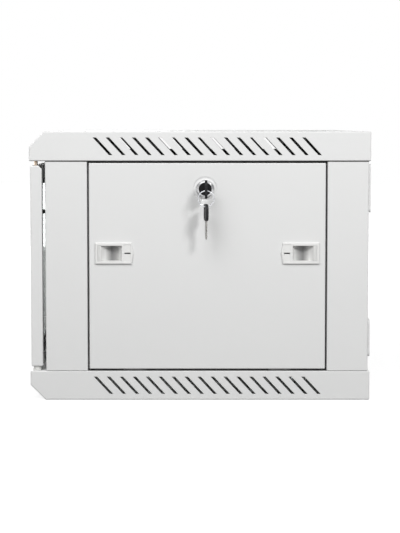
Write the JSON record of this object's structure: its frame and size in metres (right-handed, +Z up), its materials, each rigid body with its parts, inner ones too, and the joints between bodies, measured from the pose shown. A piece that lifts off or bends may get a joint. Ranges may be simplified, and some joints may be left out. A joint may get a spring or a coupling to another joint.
{
  "type": "wall mount network cabinet",
  "caption": "Wall mount network cabinet in sheet steel with a glass front door, slotted top and bottom pans, lockable tilt out side panels with slide latches, and inner equipment rails.",
  "frame": {"origin": "centre of the four wall bolts, on the wall plane at the cabinet's back, half way up", "axes": "+X to the right as seen from the front, +Y from the door to the wall, +Z up"},
  "size_m": [0.6437, 0.4542, 0.3554],
  "materials": {
    "grey_paint": "fine light grey powder coat, satin",
    "zinc_steel": "zinc plated, satin",
    "bright_steel": "bright zinc plated, small fasteners",
    "spring_steel": "drawn spring steel",
    "nickel_key": "nickel plated brass, worn satin",
    "lock_chrome": "polished chrome",
    "lock_black": "black, fine satin",
    "key_plastic": "black moulded, semi matt",
    "latch_plastic": "light grey moulded nylon, fine grain",
    "spacer_nylon": "black moulded nylon",
    "black_rubber": "matt",
    "door_glass": "clear toughened, smooth"
  },
  "bodies": {
    "cabinet": {"top_pan": "grey_paint", "bottom_pan": "grey_paint", "front_post_right": "grey_paint", "front_post_left": "grey_paint", "back_pan": "grey_paint", "wall_plates": "grey_paint", "rack_rail_front_right": "zinc_steel", "rack_rail_front_left": "zinc_steel", "rack_rail_rear_right": "zinc_steel", "rack_rail_rear_left": "zinc_steel", "depth_strap_upper_right": "zinc_steel", "depth_strap_upper_left": "zinc_steel", "depth_strap_lower_right": "zinc_steel", "depth_strap_lower_left": "zinc_steel", "rail_bolts": "bright_steel", "rail_nuts": "bright_steel", "frame_screws": "bright_steel", "cable_cover_top": "grey_paint", "cable_cover_bottom": "grey_paint", "cover_screws": "bright_steel", "earth_stud": "bright_steel"},
    "door": {"door_frame": "grey_paint", "door_glass": "door_glass", "glass_seal": "black_rubber", "glass_clips": "zinc_steel", "clip_screws": "bright_steel", "door_bumpers": "black_rubber", "hinge_brackets": "zinc_steel", "hinge_pin_lower": "bright_steel", "hinge_spacer": "spacer_nylon", "hinge_spring": "spring_steel", "door_lock_body": "lock_chrome", "door_lock_nut": "bright_steel"},
    "door_lock": {"door_lock_plug": "lock_black", "door_lock_cam": "bright_steel"},
    "hinge_pin": {"hinge_pin_upper": "bright_steel"},
    "side_panel_right": {"side_panel_right": "grey_paint", "latch_housings_right": "latch_plastic", "latch_springs_right": "spring_steel", "side_lock_body_right": "lock_chrome", "side_lock_nut_right": "bright_steel"},
    "side_lock_right": {"side_lock_plug_right": "lock_black", "side_lock_cam_right": "bright_steel"},
    "latch_slider_right_rear": {"latch_slider_right_rear": "latch_plastic"},
    "latch_slider_right_front": {"latch_slider_right_front": "latch_plastic"},
    "side_panel_left": {"side_panel_left": "grey_paint", "latch_housings_left": "latch_plastic", "latch_springs_left": "spring_steel", "side_lock_body_left": "lock_chrome", "side_lock_nut_left": "bright_steel"},
    "side_lock_left": {"side_lock_plug_left": "lock_black", "side_lock_cam_left": "bright_steel"},
    "latch_slider_left_rear": {"latch_slider_left_rear": "latch_plastic"},
    "latch_slider_left_front": {"latch_slider_left_front": "latch_plastic"},
    "lock_key": {"lock_key_blade": "nickel_key", "lock_key_bow": "key_plastic"},
    "key_ring": {"key_ring": "bright_steel"},
    "spare_key": {"spare_key_blade": "nickel_key", "spare_key_bow": "key_plastic"}
  },
  "joints": [
    {"name": "door_hinge", "type": "hinge", "parent": "cabinet", "child": "door", "pos_m": [0.2915, -0.4415, 0], "axis": [0, 0, 1], "range_deg": [0, 180]},
    {"name": "door_lock_turn", "type": "hinge", "parent": "door", "child": "door_lock", "pos_m": [-0.262, -0.4487, 0], "axis": [0, 1, 0], "range_deg": [0, 90]},
    {"name": "hinge_pin_pull", "type": "slide", "parent": "door", "child": "hinge_pin", "axis": [0, 0, -1], "range_m": [0, 0.007], "stiffness_N_per_m": 300, "springref_m": -0.004, "deforming": ["hinge_spring"]},
    {"name": "side_panel_right_tilt", "type": "hinge", "parent": "cabinet", "child": "side_panel_right", "pos_m": [0.3, -0.2154, -0.1368], "axis": [0, 1, 0], "range_deg": [0, 25]},
    {"name": "side_lock_right_turn", "type": "hinge", "parent": "side_panel_right", "child": "side_lock_right", "pos_m": [0.3, -0.2182, 0.1024], "axis": [1, 0, 0], "range_deg": [0, 90]},
    {"name": "latch_right_rear_slide", "type": "slide", "parent": "side_panel_right", "child": "latch_slider_right_rear", "axis": [0, -1, 0], "range_m": [0, 0.0065], "stiffness_N_per_m": 300, "springref_m": -0.003, "deforming": ["latch_springs_right"]},
    {"name": "latch_right_front_slide", "type": "slide", "parent": "side_panel_right", "child": "latch_slider_right_front", "axis": [0, 1, 0], "range_m": [0, 0.0065], "stiffness_N_per_m": 300, "springref_m": -0.003, "deforming": ["latch_springs_right"]},
    {"name": "side_panel_left_tilt", "type": "hinge", "parent": "cabinet", "child": "side_panel_left", "pos_m": [-0.3, -0.2154, -0.1368], "axis": [0, -1, 0], "range_deg": [0, 25]},
    {"name": "side_lock_left_turn", "type": "hinge", "parent": "side_panel_left", "child": "side_lock_left", "pos_m": [-0.3, -0.2182, 0.1024], "axis": [1, 0, 0], "range_deg": [0, 90]},
    {"name": "latch_left_rear_slide", "type": "slide", "parent": "side_panel_left", "child": "latch_slider_left_rear", "axis": [0, -1, 0], "range_m": [0, 0.0065], "stiffness_N_per_m": 300, "springref_m": -0.003, "deforming": ["latch_springs_left"]},
    {"name": "latch_left_front_slide", "type": "slide", "parent": "side_panel_left", "child": "latch_slider_left_front", "axis": [0, 1, 0], "range_m": [0, 0.0065], "stiffness_N_per_m": 300, "springref_m": -0.003, "deforming": ["latch_springs_left"]},
    {"name": "lock_key_pull", "type": "slide", "parent": "side_lock_right", "child": "lock_key", "axis": [1, 0, 0], "range_m": [0, 0.018]},
    {"name": "key_ring_swing", "type": "hinge", "parent": "lock_key", "child": "key_ring", "pos_m": [0.3272, -0.217, 0.10075], "axis": [0, 1, 0], "range_deg": [-75, 15]},
    {"name": "spare_key_swing", "type": "hinge", "parent": "key_ring", "child": "spare_key", "pos_m": [0.3272, -0.217, 0.08035], "axis": [0, 1, 0], "range_deg": [-35, 10]}
  ]
}
